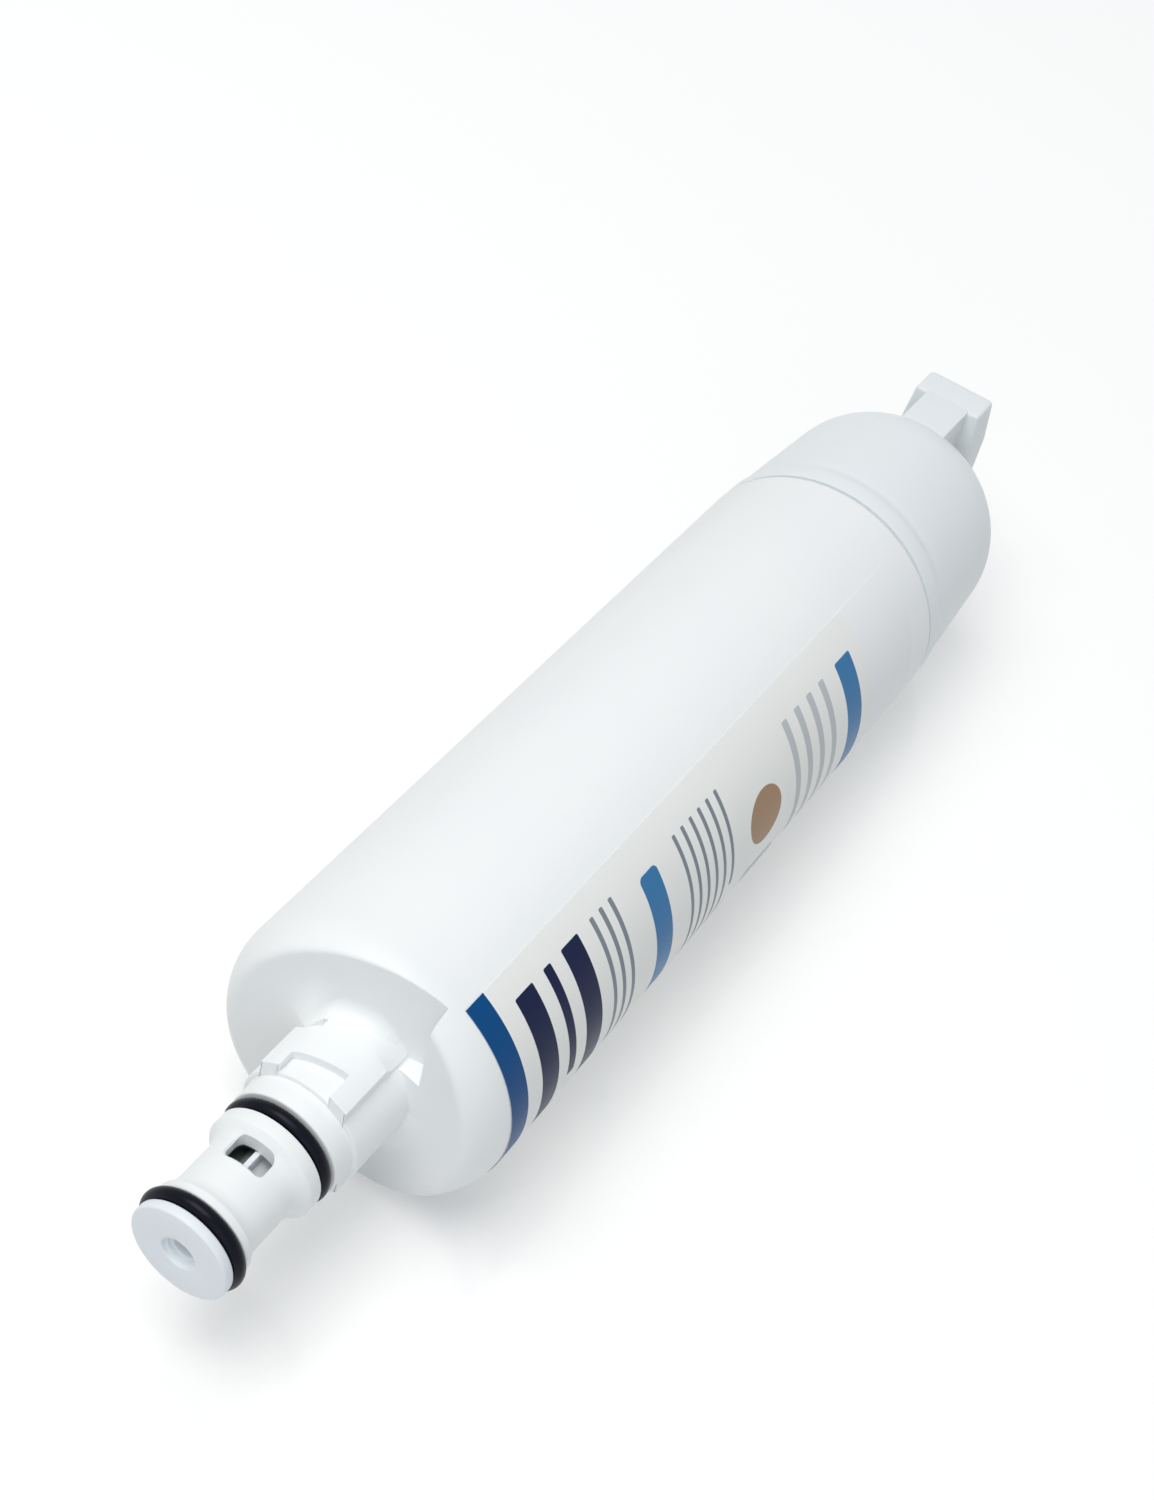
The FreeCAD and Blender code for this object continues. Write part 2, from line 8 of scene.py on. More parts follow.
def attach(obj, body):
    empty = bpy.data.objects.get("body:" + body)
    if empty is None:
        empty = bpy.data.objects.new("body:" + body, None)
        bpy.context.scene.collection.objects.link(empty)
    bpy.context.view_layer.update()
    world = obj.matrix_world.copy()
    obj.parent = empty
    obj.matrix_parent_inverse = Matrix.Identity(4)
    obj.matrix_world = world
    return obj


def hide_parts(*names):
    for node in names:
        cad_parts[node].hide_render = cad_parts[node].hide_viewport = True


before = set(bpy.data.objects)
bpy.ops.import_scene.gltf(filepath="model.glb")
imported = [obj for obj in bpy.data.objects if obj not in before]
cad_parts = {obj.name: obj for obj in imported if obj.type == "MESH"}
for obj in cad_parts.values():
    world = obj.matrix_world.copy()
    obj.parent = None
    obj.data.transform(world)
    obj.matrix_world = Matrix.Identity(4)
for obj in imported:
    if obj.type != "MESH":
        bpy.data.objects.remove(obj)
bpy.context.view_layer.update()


# Canister: one injection moulding in near-white polypropylene. The long barrel closes in a domed shoulder
# with two cam faces, and the collar, its two bayonet lugs and the double-seal spigot stand in front of it.
# Lengths are in millimetres from the tip face until a piece is put in its place in the frame.
MILLIMETRE = 0.001
TIP_FACE = -28.75

SEAM = 211.6
SEAM_EDGE = 0.35
BARREL_RADIUS = 28.5
BARREL_BORE = 26.3
SHOULDER_FRONT = 39.5
SHOULDER_ROUND = 12.6
SHOULDER_BACK = 53.5
SHOULDER_BORE = 10.0
SHOULDER_RINGS = 14
COLLAR_FRONT = 31.0
COLLAR_RADIUS = 11.9


def turned(corners, steps, pitch=0.5):
    """A closed outline of (place, radius, rounding) corners, spun round the cartridge's axis."""
    bm = bmesh.new()
    points = [bm.verts.new((place, 0, radius)) for place, radius, _ in corners]
    for point, following in zip(points, points[1:] + points[:1]):
        bm.edges.new((point, following))
    for point, (_, _, rounding) in zip(points, corners):
        if rounding:
            bmesh.ops.bevel(bm, geom=[point], affect='VERTICES', offset=rounding, profile=0.5, material=-1,
                            segments=max(3, ceil(rounding * pi / 2 / pitch)))
    bmesh.ops.spin(bm, geom=bm.verts[:] + bm.edges[:], cent=(0, 0, 0), axis=(1, 0, 0), angle=2 * pi,
                   steps=steps, use_merge=True)
    bmesh.ops.remove_doubles(bm, verts=bm.verts, dist=1e-4)
    return bm


def radius_of(point):
    return hypot(point.y, point.z)


def bearing(point):
    """Angle round the axis from the top towards the near side, in degrees."""
    return degrees(atan2(-point.y, point.z))


def hollow(start, end, steps=6):
    """Points on the hollow arc that leaves start and runs out level at end."""
    run = end[0] - start[0]
    rise = start[1] - end[1]
    bend = (run ** 2 + rise ** 2) / (2 * rise)
    reach = [run * step / steps for step in range(1, steps)]
    return [(start[0] + x, end[1] + bend - sqrt(bend ** 2 - (run - x) ** 2), 0) for x in reach]


def slice_faces(bm, faces, place, facing):
    """Cuts faces along a plane, and keeps what lies on both sides of it."""
    edges = {edge for face in faces for edge in face.edges}
    verts = {vert for face in faces for vert in face.verts}
    bmesh.ops.bisect_plane(bm, geom=[*faces, *edges, *verts], plane_co=place, plane_no=facing)


# The shoulder starts as a plain dome. Two flat, tilted cam faces, half a turn apart, press it back: each
# falls away to a step beside the collar, where the other one starts higher up. A fillet joins it to the
# lug's tail, and beside the tail it leans out towards the back of the catch slot.
shell = turned([
    (SHOULDER_FRONT, SHOULDER_BORE, 0),
    (SHOULDER_FRONT, BARREL_RADIUS, SHOULDER_ROUND),
    (SEAM, BARREL_RADIUS, SEAM_EDGE),
    (SEAM, BARREL_BORE, 0),
    (SHOULDER_BACK, BARREL_BORE, 0),
    (SHOULDER_BACK, SHOULDER_BORE, 0),
], 360)
face_spokes = [
    edge for edge in shell.edges
    if all(vert.co.x < SHOULDER_FRONT + 0.01 for vert in edge.verts)
    and abs(radius_of(edge.verts[0].co) - radius_of(edge.verts[1].co)) > 1
]
bmesh.ops.subdivide_edges(shell, edges=face_spokes, cuts=SHOULDER_RINGS, use_grid_fill=True)

CAM_FOOT = 49.6
CAM_SLOPE = tan(radians(9.8))
STEP_WALL = 13.0
STEP_SHELF = 8.4
CRISP_RIM = 0.4
SOFT_RIM = 1.8
COLLAR_FILLET = 0.25
LUG_RADIUS = 13.8
TAIL_LEFT = -4.95
TAIL_RIGHT = 8.1
TAIL_FILLET = 3.0
ROLL_START = 2.5
ROLL_DROP = 1.9
CATCH_FAR = -17.0
CATCH_OPEN = -9.3
CATCH_LEAN = 3.4
CATCH_REACH = 9.0


def on_shoulder(face):
    centre = face.calc_center_median()
    return centre.x < SHOULDER_BACK - 0.5 and radius_of(centre) > SHOULDER_BORE + 0.05


def on_upper_cam(point):
    """True in front of the upper cam face, which reaches down the far side to the lower one's step."""
    if abs(point.y) > STEP_WALL:
        return point.y > 0
    return point.z > (-STEP_SHELF if point.y > 0 else STEP_SHELF)


def further_back(first, second, softness):
    """The greater of two places, with the edge between them rounded."""
    part = min(max(0.5 + 0.5 * (first - second) / softness, 0), 1)
    return second + (first - second) * part + softness * part * (1 - part)


def fillet_height(gap, fillet):
    """How far a fillet stands in front of the face it runs out on, at a gap from its foot."""
    short = fillet - min(max(gap, 0), fillet)
    return fillet - sqrt(fillet ** 2 - short ** 2)


def share(value, start, end):
    """How far a value has come from start to end, 0 to 1."""
    return min(max((value - start) / (end - start), 0), 1)


def eased(value, start, end):
    """The same share, setting out and arriving gently."""
    part = share(value, start, end)
    return part * part * (3 - 2 * part)


def tail_drop(near):
    """How far the tail's top is rolled off at a distance towards the near side."""
    return ROLL_DROP * share(near, ROLL_START, TAIL_RIGHT) ** 2


def press_back(vert, side):
    """Sets a point of the dome on the cam face of its side, 1 above and -1 below."""
    near, up = -side * vert.co.y, side * vert.co.z
    rise = max(STEP_WALL - near, 0)
    softness = CRISP_RIM + (SOFT_RIM - CRISP_RIM) * rise / (STEP_WALL + BARREL_RADIUS)
    at_tail = eased(near, CATCH_OPEN, TAIL_LEFT)
    beside = min(max(near, CATCH_OPEN), TAIL_RIGHT)
    tail_radius = COLLAR_RADIUS + (LUG_RADIUS - COLLAR_RADIUS) * at_tail
    above = up - sqrt(tail_radius ** 2 - beside ** 2) + tail_drop(beside)
    tail_gap = hypot(near - beside, max(above, 0))
    tail_fillet = TAIL_FILLET + (COLLAR_FILLET - TAIL_FILLET) * share(near, ROLL_START, TAIL_RIGHT)
    collar_gap = radius_of(vert.co) - COLLAR_RADIUS
    lean = CATCH_LEAN * (1 - share(collar_gap, 0, CATCH_REACH)) ** 2
    lean *= eased(near, CATCH_FAR, CATCH_OPEN) * (1 - at_tail) * share(up, 0, STEP_SHELF)
    tail_height = fillet_height(tail_gap, tail_fillet) * at_tail + lean
    proud = max(tail_height, fillet_height(collar_gap, COLLAR_FILLET))
    vert.co.x = further_back(vert.co.x, CAM_FOOT - rise * CAM_SLOPE - proud, softness)


for cut, facing in ((Vector((0, STEP_WALL, 0)), (0, 1, 0)), (Vector((0, 0, STEP_SHELF)), (0, 0, 1))):
    for side in (1, -1):
        slice_faces(shell, [face for face in shell.faces if on_shoulder(face)], side * cut, facing)
shoulder_end = SHOULDER_FRONT + SHOULDER_ROUND - 0.05
shoulder_faces = [face for face in shell.faces if on_shoulder(face)]
shoulder_verts = {vert for face in shoulder_faces for vert in face.verts}
upper_faces = [face for face in shoulder_faces if on_upper_cam(face.calc_center_median())]
lifted = bmesh.ops.extrude_face_region(shell, geom=upper_faces)["geom"]
upper_verts = {item for item in lifted if isinstance(item, bmesh.types.BMVert)}
bmesh.ops.delete(shell, geom=upper_faces, context='FACES')
for vert in upper_verts | {vert for vert in shoulder_verts if vert.is_valid}:
    if vert.co.x < shoulder_end:
        press_back(vert, 1 if vert in upper_verts else -1)
bmesh.ops.remove_doubles(shell, verts=shell.verts, dist=1e-3)

# The spigot carries two seal grooves, and its neck has an inlet window above and below.
SPIGOT_STEPS = 96
SPIGOT_END = 53.0
SPIGOT_BORE = 6.0
BORE_RINGS = (13.8, 20.4)
SOCKET_START = 28.5
SOCKET_BORE = 8.6
FRONT_GROOVE = (2.0, 5.0)
FRONT_GROOVE_FLOOR = 7.5
FRONT_LAND = 9.5
FRONT_LAND_END = 6.5
NECK_START = 9.4
NECK_RING = 14.0
NECK_RADIUS = 8.4
FLARE = (17.4, 20.0)
FLARE_RADIUS = 9.8
REAR_LAND = 10.5
REAR_LAND_START = 20.6
REAR_GROOVE = (23.3, 26.5)
REAR_GROOVE_FLOOR = 7.9
COLLAR_NECK = 10.9
flare = [
    (sum(FLARE) - place, radius, 0)
    for place, radius, _ in reversed(hollow((FLARE[0], FLARE_RADIUS), (FLARE[1], NECK_RADIUS)))
]
spigot = turned([
    (FRONT_GROOVE[0], SPIGOT_BORE, 0),
    (FRONT_GROOVE[0], FRONT_GROOVE_FLOOR, 0),
    (FRONT_GROOVE[1], FRONT_GROOVE_FLOOR, 0.2),
    (FRONT_GROOVE[1], FRONT_LAND, 0.3),
    (FRONT_LAND_END, FRONT_LAND, 0.25),
    *hollow((FRONT_LAND_END, FRONT_LAND), (NECK_START, NECK_RADIUS)),
    (NECK_START, NECK_RADIUS, 0),
    (NECK_RING, NECK_RADIUS, 0),
    (FLARE[0], NECK_RADIUS, 0),
    *flare,
    (FLARE[1], FLARE_RADIUS, 0),
    (REAR_LAND_START, REAR_LAND, 0.15),
    (REAR_GROOVE[0], REAR_LAND, 0.3),
    (REAR_GROOVE[0], REAR_GROOVE_FLOOR, 0.2),
    (REAR_GROOVE[1], REAR_GROOVE_FLOOR, 0.2),
    (REAR_GROOVE[1], COLLAR_NECK, 0.35),
    (COLLAR_FRONT, COLLAR_NECK, 0.2),
    (COLLAR_FRONT, COLLAR_RADIUS, 0.35),
    (SPIGOT_END, COLLAR_RADIUS, 0),
    (SPIGOT_END, SOCKET_BORE, 0),
    (SOCKET_START, SOCKET_BORE, 0),
    (SOCKET_START, SPIGOT_BORE, 0),
    (BORE_RINGS[1], SPIGOT_BORE, 0),
    (BORE_RINGS[0], SPIGOT_BORE, 0),
], SPIGOT_STEPS)

WINDOW_MIDDLE = Vector((17.1, 0, 0))
WINDOW_HALF = (2.6, 4.05)
WINDOW_CORNER = 1.3
WINDOW_BEVEL = 0.35
WINDOW_LEVEL = 4.0
outlook = [Vector((cos(radians(turn)), sin(radians(turn)), 0)) for turn in range(0, 360, 15)]


def window_reach(direction):
    """How far the rounded window reaches from its middle in one direction."""
    along = abs(direction.x) * (WINDOW_HALF[0] - WINDOW_CORNER)
    across = abs(direction.y) * (WINDOW_HALF[1] - WINDOW_CORNER)
    return along + across + WINDOW_CORNER


def near_window(face):
    centre = face.calc_center_median()
    along = abs(centre.x - WINDOW_MIDDLE.x) < WINDOW_HALF[0] + 1
    return along and abs(centre.y) < WINDOW_HALF[1] + 1 and abs(centre.z) > WINDOW_LEVEL


def in_window(face):
    centre = face.calc_center_median()
    inside = all((centre - WINDOW_MIDDLE).dot(direction) < window_reach(direction) for direction in outlook)
    return inside and abs(centre.z) > WINDOW_LEVEL


for direction in outlook:
    rim_place = WINDOW_MIDDLE + direction * window_reach(direction)
    slice_faces(spigot, [face for face in spigot.faces if near_window(face)], rim_place, direction)
bmesh.ops.delete(spigot, geom=[face for face in spigot.faces if in_window(face)], context='FACES')
rim = [
    edge for edge in spigot.edges
    if edge.is_boundary and radius_of(edge.verts[0].co) > SPIGOT_BORE + 0.5
]
for inset, drop in ((WINDOW_BEVEL, WINDOW_BEVEL), (0, None)):
    grown = bmesh.ops.extrude_edge_only(spigot, edges=rim)["geom"]
    rim = [item for item in grown if isinstance(item, bmesh.types.BMEdge)]
    for vert in (item for item in grown if isinstance(item, bmesh.types.BMVert)):
        up = 1 if vert.co.z > 0 else -1
        vert.co.x -= inset * (vert.co.x - WINDOW_MIDDLE.x) / WINDOW_HALF[0]
        vert.co.y -= inset * vert.co.y / WINDOW_HALF[1]
        vert.co.z = vert.co.z - up * drop if drop else up * sqrt(SPIGOT_BORE ** 2 - vert.co.y ** 2)

# Each bayonet lug is a thick arc on the collar with upright sides and a notch in its front. Behind it the
# catch slot opens to one side, and the tail beside the slot runs into the cam face.
LUG_LEFT = -41
LUG_RIGHT = 36
LUG_FRONT = COLLAR_FRONT - 0.04
LUG_DEPTH = 5.0
LUG_EDGE = 0.2
NOTCH_LEFT = -24
NOTCH_RIGHT = 19
NOTCH_BACK = 35.5
NOTCH_SLANT = 1.9
CATCH_START = 40.3
CATCH_END = -21
ROLL_FRONT = 42.2
ROLL_BACK = 44.2
TAIL_PLACES = [ROLL_FRONT + step / 2 for step in range(13)]


def lug():
    bm = bmesh.new()
    places = [LUG_FRONT, NOTCH_BACK, CATCH_START, *TAIL_PLACES, SPIGOT_END]
    ends = [bm.verts.new((place, 0, LUG_RADIUS)) for place in places]
    spokes = [bm.edges.new(pair) for pair in zip(ends, ends[1:])]
    bmesh.ops.rotate(bm, verts=ends, cent=(0, 0, 0), matrix=Matrix.Rotation(radians(LUG_LEFT), 3, 'X'))
    bmesh.ops.spin(bm, geom=ends + spokes, cent=(0, 0, 0), axis=(1, 0, 0),
                   angle=radians(LUG_RIGHT - LUG_LEFT), steps=LUG_RIGHT - LUG_LEFT)
    gaps = []
    for face in bm.faces:
        centre = face.calc_center_median()
        notch = centre.x < NOTCH_BACK and NOTCH_LEFT < bearing(centre) < NOTCH_RIGHT
        catch = centre.x > CATCH_START and bearing(centre) < CATCH_END
        if notch or catch:
            gaps.append(face)
    bmesh.ops.delete(bm, geom=gaps, context='FACES')
    for vert in bm.verts:
        if abs(vert.co.x - NOTCH_BACK) < 0.01:
            vert.co.x += NOTCH_SLANT * ((bearing(vert.co) - NOTCH_LEFT) / (NOTCH_RIGHT - NOTCH_LEFT) - 0.5)
        vert.co.z -= share(vert.co.x, ROLL_FRONT, ROLL_BACK) * tail_drop(-vert.co.y)
    grown = bmesh.ops.extrude_face_region(bm, geom=bm.faces[:], use_keep_orig=True)["geom"]
    foot = [item for item in grown if isinstance(item, bmesh.types.BMVert)]
    bmesh.ops.translate(bm, vec=(0, 0, -LUG_DEPTH), verts=foot)
    bmesh.ops.recalc_face_normals(bm, faces=bm.faces)
    crisp = [edge for edge in bm.edges if edge.calc_face_angle(0) > radians(60)]
    bmesh.ops.bevel(bm, geom=crisp, affect='EDGES', offset=LUG_EDGE, segments=3, profile=0.5, material=-1)
    return bm


def join(bm, other):
    carrier = bpy.data.meshes.new("carrier")
    other.to_mesh(carrier)
    bm.from_mesh(carrier)
    bpy.data.meshes.remove(carrier)


lower_lug = lug()
bmesh.ops.rotate(lower_lug, verts=lower_lug.verts, cent=(0, 0, 0), matrix=Matrix.Rotation(pi, 3, 'X'))
for piece in (spigot, lug(), lower_lug):
    join(shell, piece)


def linear(red, green, blue):
    """A colour written in 0 to 255 screen values, as the shader wants it."""
    def channel(level):
        level /= 255
        return level / 12.92 if level < 0.04045 else ((level + 0.055) / 1.055) ** 2.4
    return channel(red), channel(green), channel(blue), 1


def new_group(name, inputs, outputs):
    """A shader node group with its sockets, and the nodes at its two ends."""
    group = bpy.data.node_groups.new(name, 'ShaderNodeTree')
    for socket, kind in inputs:
        group.interface.new_socket(socket, in_out='INPUT', socket_type=kind)
    for socket, kind in outputs:
        group.interface.new_socket(socket, in_out='OUTPUT', socket_type=kind)
    return group, group.nodes.new('NodeGroupInput'), group.nodes.new('NodeGroupOutput')


def add_node(tree, kind, settings=None, **inputs):
    """A node with its settings, and its inputs as values or as links from other sockets."""
    node = tree.nodes.new(kind)
    for setting, choice in (settings or {}).items():
        setattr(node, setting, choice)
    for name, source in inputs.items():
        socket = node.inputs[int(name[1:]) if name[1:].isdigit() else name.replace("_", " ")]
        if isinstance(source, bpy.types.NodeSocket):
            tree.links.new(source, socket)
        else:
            socket.default_value = source
    return node


def calculate(tree, operation, *values, clamp=False):
    """What a maths node makes of values or of other sockets."""
    settings = {"operation": operation, "use_clamp": clamp}
    terms = {f"_{index}": value for index, value in enumerate(values)}
    return add_node(tree, 'ShaderNodeMath', settings, **terms).outputs[0]


def blend(tree, factor, first, second, mode='MIX'):
    """A colour made of two others, by a factor from 0 to 1."""
    settings = {"data_type": 'RGBA', "blend_type": mode}
    return add_node(tree, 'ShaderNodeMix', settings, Factor=factor, _6=first, _7=second).outputs[2]


def object_place(tree):
    return add_node(tree, 'ShaderNodeTexCoord').outputs["Object"]


# Moulded surface: a slow drift of tone, faint flow lines along the part and a fine spark-eroded grain.
moulded, m_in, m_out = new_group("moulded_surface", [
    ("Color", 'NodeSocketColor'),
    ("Drift Color", 'NodeSocketColor'),
    ("Gloss", 'NodeSocketFloat'),
    ("Grain Scale", 'NodeSocketFloat'),
], [
    ("Color", 'NodeSocketColor'),
    ("Roughness", 'NodeSocketFloat'),
    ("Height", 'NodeSocketFloat'),
])
place = object_place(moulded)
drift = add_node(moulded, 'ShaderNodeTexNoise', Vector=place, Scale=38, Detail=3)
stretched = add_node(moulded, 'ShaderNodeMapping', Vector=place, Scale=(0.12, 1, 1))
flow = add_node(moulded, 'ShaderNodeTexNoise', Vector=stretched.outputs["Vector"], Scale=420, Detail=2)
grain = add_node(moulded, 'ShaderNodeTexNoise', Vector=place, Scale=m_in.outputs["Grain Scale"], Detail=4)
flow_gloss = add_node(moulded, 'ShaderNodeMapRange', Value=flow.outputs["Fac"], To_Min=-0.05, To_Max=0.05)
tone = blend(moulded, drift.outputs["Fac"], m_in.outputs["Color"], m_in.outputs["Drift Color"])
roughness = calculate(moulded, 'ADD', m_in.outputs["Gloss"], flow_gloss.outputs["Result"], clamp=True)
height = calculate(moulded, 'MULTIPLY_ADD', flow.outputs["Fac"], 0.35, grain.outputs["Fac"])
moulded.links.new(tone, m_out.inputs["Color"])
moulded.links.new(roughness, m_out.inputs["Roughness"])
moulded.links.new(height, m_out.inputs["Height"])

# Painted inner shade: a dark tone painted into the colour as the shade of the unlit bore, patchy with noise,
# behind
#  a given place, within a given radius of the axis and on its far side.
shade_group, d_in, d_out = new_group("painted_inner_shade", [
    ("Color", 'NodeSocketColor'),
    ("Dust Color", 'NodeSocketColor'),
    ("Behind", 'NodeSocketFloat'),
    ("Beyond", 'NodeSocketFloat'),
    ("Within", 'NodeSocketFloat'),
], [("Color", 'NodeSocketColor')])
place = object_place(shade_group)
spot = add_node(shade_group, 'ShaderNodeSeparateXYZ', Vector=place)
across = add_node(shade_group, 'ShaderNodeCombineXYZ', Y=spot.outputs["Y"], Z=spot.outputs["Z"])
reach = add_node(shade_group, 'ShaderNodeVectorMath', {"operation": 'LENGTH'}, Vector=across.outputs["Vector"])
clouds = add_node(shade_group, 'ShaderNodeTexNoise', Vector=place, Scale=600, Detail=3)
cover = add_node(shade_group, 'ShaderNodeMapRange', Value=clouds.outputs["Fac"], To_Min=0.7, To_Max=1.0)
shaded = cover.outputs["Result"]
for test, value, limit in (
    ('LESS_THAN', reach.outputs["Value"], "Within"),
    ('GREATER_THAN', spot.outputs["X"], "Behind"),
    ('GREATER_THAN', spot.outputs["Y"], "Beyond"),
):
    shaded = calculate(shade_group, 'MULTIPLY', shaded, calculate(shade_group, test, value, d_in.outputs[limit]))
tone = blend(shade_group, shaded, d_in.outputs["Color"], d_in.outputs["Dust Color"])
shade_group.links.new(tone, d_out.inputs["Color"])


def new_material(name):
    material = bpy.data.materials.new(name)
    material.use_nodes = True
    return material, material.node_tree, material.node_tree.nodes["Principled BSDF"]


def moulded_plastic(name, colour, drift_colour, gloss, grain_scale, relief, bore_shading=None):
    material, tree, shader = new_material(name)
    surface = add_node(tree, 'ShaderNodeGroup', {"node_tree": moulded}, Color=colour,
                       Drift_Color=drift_colour, Gloss=gloss, Grain_Scale=grain_scale)
    bump = add_node(tree, 'ShaderNodeBump', Strength=0.25, Distance=relief, Height=surface.outputs["Height"])
    shade = surface.outputs["Color"]
    # Paints shade into the base colour inside the bore, when a shade is given.
    if bore_shading:
        shade_colour, behind, beyond, within = bore_shading
        shade = add_node(tree, 'ShaderNodeGroup', {"node_tree": shade_group}, Color=shade, Dust_Color=shade_colour,
                         Behind=behind * MILLIMETRE, Beyond=beyond * MILLIMETRE,
                         Within=within * MILLIMETRE).outputs["Color"]
    tree.links.new(shade, shader.inputs["Base Color"])
    tree.links.new(surface.outputs["Roughness"], shader.inputs["Roughness"])
    tree.links.new(bump.outputs["Normal"], shader.inputs["Normal"])
    shader.inputs["IOR"].default_value = 1.49
    shader.inputs["Specular IOR Level"].default_value = 0.28
    return material


def fit(bm, name, material, slot, *nodes):
    """Moves a finished mesh into the frame, and makes it the piece that stands for its solids."""
    bmesh.ops.remove_doubles(bm, verts=bm.verts, dist=1e-4)
    bmesh.ops.recalc_face_normals(bm, faces=bm.faces)
    bmesh.ops.translate(bm, vec=(TIP_FACE, 0, 0), verts=bm.verts)
    bmesh.ops.scale(bm, vec=(MILLIMETRE,) * 3, verts=bm.verts)
    mesh = bpy.data.meshes.new(name)
    bm.to_mesh(mesh)
    bm.free()
    mesh.shade_smooth()
    mesh.set_sharp_from_angle(angle=radians(32))
    mesh.materials.append(material)
    piece = bpy.data.objects.new(name, mesh)
    bpy.context.scene.collection.objects.link(piece)
    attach(piece, "root")
    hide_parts(*nodes)
    return piece


# Painted shade on the far side of the spigot's bore, where its inside lies unlit.
bore_shade = (linear(52, 60, 62), TIP_FACE + 5, 0, SPIGOT_BORE + 0.3)
housing_white = moulded_plastic("housing_white", linear(246, 247, 247), linear(241, 243, 244),
                                0.36, 3200, 0.00004, bore_shade)
fit(shell, "canister_moulding", housing_white, "housing_plastic", "canister")


# Outlet insert: a clear-natural polypropylene moulding pressed into the spigot. Its tip plate closes the
# front seal groove round the stepped outlet port, and the finned tube behind it shows through the window.
PLATE_RADIUS = 9.6
PLATE_BACK = 2.0
PLUG_RADIUS = 5.95
PLUG_BACK = 6.0
PORT_RADIUS = 3.3
PORT_STEPS = (0.8, 1.6)
PORT_STEP_RADIUS = 2.75
TUBE_BORE = 2.2
TUBE_RADIUS = 3.4
TUBE_END = 42.0
SOCKET = (43.0, 52.0)
SOCKET_WALL = (5.0, 6.3)
insert = turned([
    (SOCKET[0], TUBE_BORE, 0),
    (PORT_STEPS[1], TUBE_BORE, 0.15),
    (PORT_STEPS[1], PORT_STEP_RADIUS, 0.1),
    (PORT_STEPS[0], PORT_STEP_RADIUS, 0.15),
    (PORT_STEPS[0], PORT_RADIUS, 0.1),
    (0.0, PORT_RADIUS, 0.2),
    (0.0, PLATE_RADIUS, 0.4),
    (PLATE_BACK, PLATE_RADIUS, 0.4),
    (PLATE_BACK, PLUG_RADIUS, 0),
    (PLUG_BACK, PLUG_RADIUS, 0.2),
    (PLUG_BACK, TUBE_RADIUS, 0.3),
    (TUBE_END, TUBE_RADIUS, 0),
    (SOCKET[0], SOCKET_WALL[1], 0.3),
    (SOCKET[1], SOCKET_WALL[1], 0.3),
    (SOCKET[1], SOCKET_WALL[0], 0.3),
    (SOCKET[0], SOCKET_WALL[0], 0),
], 96)
FIN_SIZE = (20.5, 1.0, 2.75)
FIN_MIDDLE = (15.75, 0, 4.575)
for quarter in range(4):
    fin = bmesh.new()
    bmesh.ops.create_cube(fin, size=1)
    bmesh.ops.scale(fin, vec=FIN_SIZE, verts=fin.verts)
    bmesh.ops.translate(fin, vec=FIN_MIDDLE, verts=fin.verts)
    bmesh.ops.bevel(fin, geom=fin.edges, affect='EDGES', offset=0.15, segments=2, profile=0.5, material=-1)
    bmesh.ops.rotate(fin, verts=fin.verts, cent=(0, 0, 0), matrix=Matrix.Rotation(quarter * pi / 2, 3, 'X'))
    join(insert, fin)
# Painted shade on the far side of the insert's tube, lighter than the bore's.
tube_shade = (linear(90, 104, 104), TIP_FACE + PLUG_BACK + 0.2, 0.55, 5.3)
insert_white = moulded_plastic("insert_white", linear(238, 242, 246), linear(232, 237, 242),
                               0.36, 3600, 0.00003, tube_shade)
fit(insert, "outlet_insert_moulding", insert_white, "insert_plastic", "outlet_insert")


# End cap: a tapered dome in the same white plastic, spin welded to the barrel. A gripping band runs round it
# behind the weld groove, and its T-shaped rail across the end slides into the knob that turns the cartridge.
CAP_EDGE = 28.3
CAP_END = 261.8
CAP_TAPER = radians(3.7)
CAP_ROUND = 18.0
CAP_WALL = 2.3
WELD_BACK = SEAM + 1.0
WELD_FLOOR = CAP_EDGE - 1.1
BAND_END = SEAM + 5.4
BAND_FOOT = BAND_END + 2.0
BAND_HOLLOW = 0.3
BAND_FADE = BAND_END + 4.2


def taper_radius(place):
    return CAP_EDGE - (place - SEAM) * tan(CAP_TAPER)


end_radius = taper_radius(CAP_END)
round_run = CAP_ROUND * tan((pi / 2 - CAP_TAPER) / 2)
cap = turned([
    (CAP_END, 0, 0),
    (CAP_END, end_radius, round_run),
    (BAND_FADE, taper_radius(BAND_FADE), 1.0),
    (BAND_FOOT, taper_radius(BAND_FOOT) - BAND_HOLLOW, 0.9),
    (BAND_END, CAP_EDGE, 0.9),
    (WELD_BACK, CAP_EDGE, 0.06),
    (WELD_BACK, WELD_FLOOR, 0.1),
    (SEAM, WELD_FLOOR, 0),
    (SEAM, CAP_EDGE - CAP_WALL, 0),
    (CAP_END - CAP_WALL, end_radius - CAP_WALL, round_run - CAP_WALL),
    (CAP_END - CAP_WALL, 0, 0),
], 180, 0.9)

RAIL_ROOT = CAP_END - 14
RAIL_NECK_HALF_WIDTH = 5.3
RAIL_HEAD = 265.0
RAIL_HEAD_HALF_WIDTH = 9.1
RAIL_TIP_HALF_WIDTH = 8.0
RAIL_END = 275.0
RAIL_HALF_LENGTH = 23.5
RAIL_LEAD_IN = 9.5


